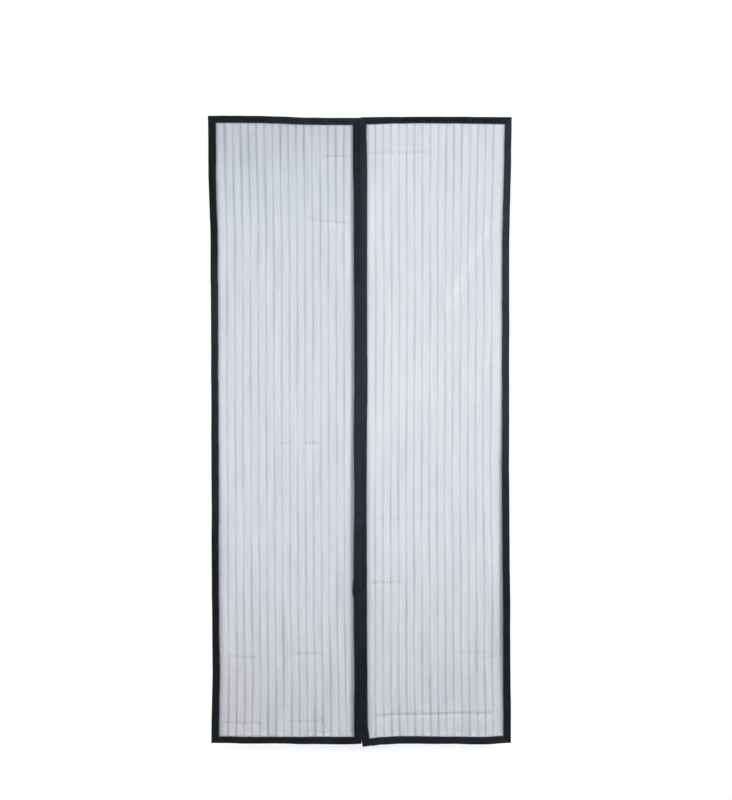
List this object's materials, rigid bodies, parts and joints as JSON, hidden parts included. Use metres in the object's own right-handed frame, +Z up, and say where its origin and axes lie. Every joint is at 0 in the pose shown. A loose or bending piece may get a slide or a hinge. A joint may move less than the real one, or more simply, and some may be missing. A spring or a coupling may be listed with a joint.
{
  "type": "door insect screen",
  "caption": "Insect screen for a doorway: a pair of striped net panels bound in dark tape, fixed at the top and outer sides, that part in the middle and close again on magnets.",
  "frame": {"origin": "on the floor in the middle of the doorway, below the line where the panels meet, in the plane of the net", "axes": "+Z up; +Y from the front of the screen to the frame behind it; +X along the doorway to the right, seen from the front"},
  "size_m": [1.0156, 0.0114, 2.1129],
  "materials": {
    "net": "fine polyester net with a denser woven stripe, pale blue grey",
    "binding": "matt black woven polyester tape",
    "magnet": "plain flexible magnet rubber",
    "fixing": "black looped fixing tape"
  },
  "bodies": {
    "root": {"left_net": "net", "left_top_binding": "binding", "left_bottom_binding": "binding", "left_side_binding": "binding", "left_closing_binding": "binding", "left_magnet_01": "magnet", "left_magnet_02": "magnet", "left_magnet_03": "magnet", "left_magnet_04": "magnet", "left_magnet_05": "magnet", "left_magnet_06": "magnet", "left_magnet_07": "magnet", "left_magnet_08": "magnet", "left_magnet_09": "magnet", "left_magnet_10": "magnet", "left_top_fixing_strip": "fixing", "left_side_fixing_strip": "fixing", "right_net": "net", "right_top_binding": "binding", "right_bottom_binding": "binding", "right_side_binding": "binding", "right_closing_binding": "binding", "right_magnet_01": "magnet", "right_magnet_02": "magnet", "right_magnet_03": "magnet", "right_magnet_04": "magnet", "right_magnet_05": "magnet", "right_magnet_06": "magnet", "right_magnet_07": "magnet", "right_magnet_08": "magnet", "right_magnet_09": "magnet", "right_magnet_10": "magnet", "right_top_fixing_strip": "fixing", "right_side_fixing_strip": "fixing"}
  },
  "joints": []
}
